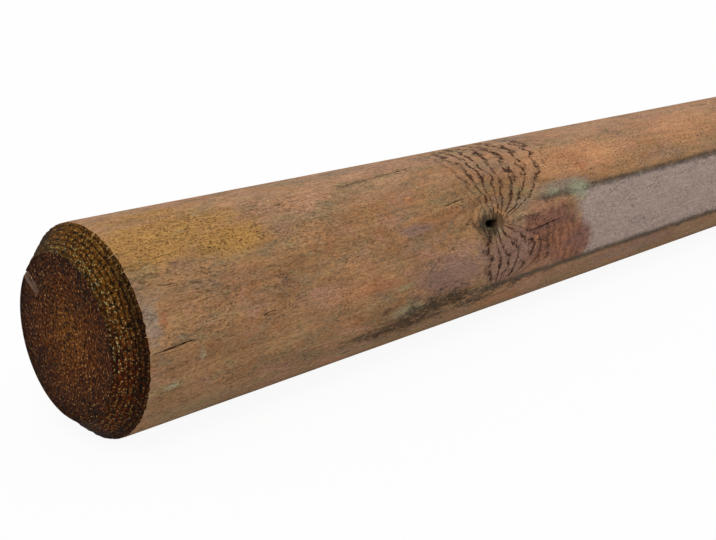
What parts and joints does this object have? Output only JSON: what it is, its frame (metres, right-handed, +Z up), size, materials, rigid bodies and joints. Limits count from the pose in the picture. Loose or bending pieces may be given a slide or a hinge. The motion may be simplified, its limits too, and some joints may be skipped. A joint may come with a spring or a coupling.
{
  "type": "pointed round wooden stake",
  "caption": "Machine-rounded softwood stake lying on its side, with a chamfered flat head to drive on and a point with four sawn faces.",
  "frame": {"origin": "on the ground under the middle of the stake, which lies on its side", "axes": "+X along the stake from the chamfered head to the point, +Z up, the knot and the natural strip on the -Y side"},
  "size_m": [1.5, 0.1, 0.0994],
  "materials": {
    "treated_pine": "weathered, pressure-treated, matt"
  },
  "bodies": {
    "root": {"stake": "treated_pine"}
  },
  "joints": []
}
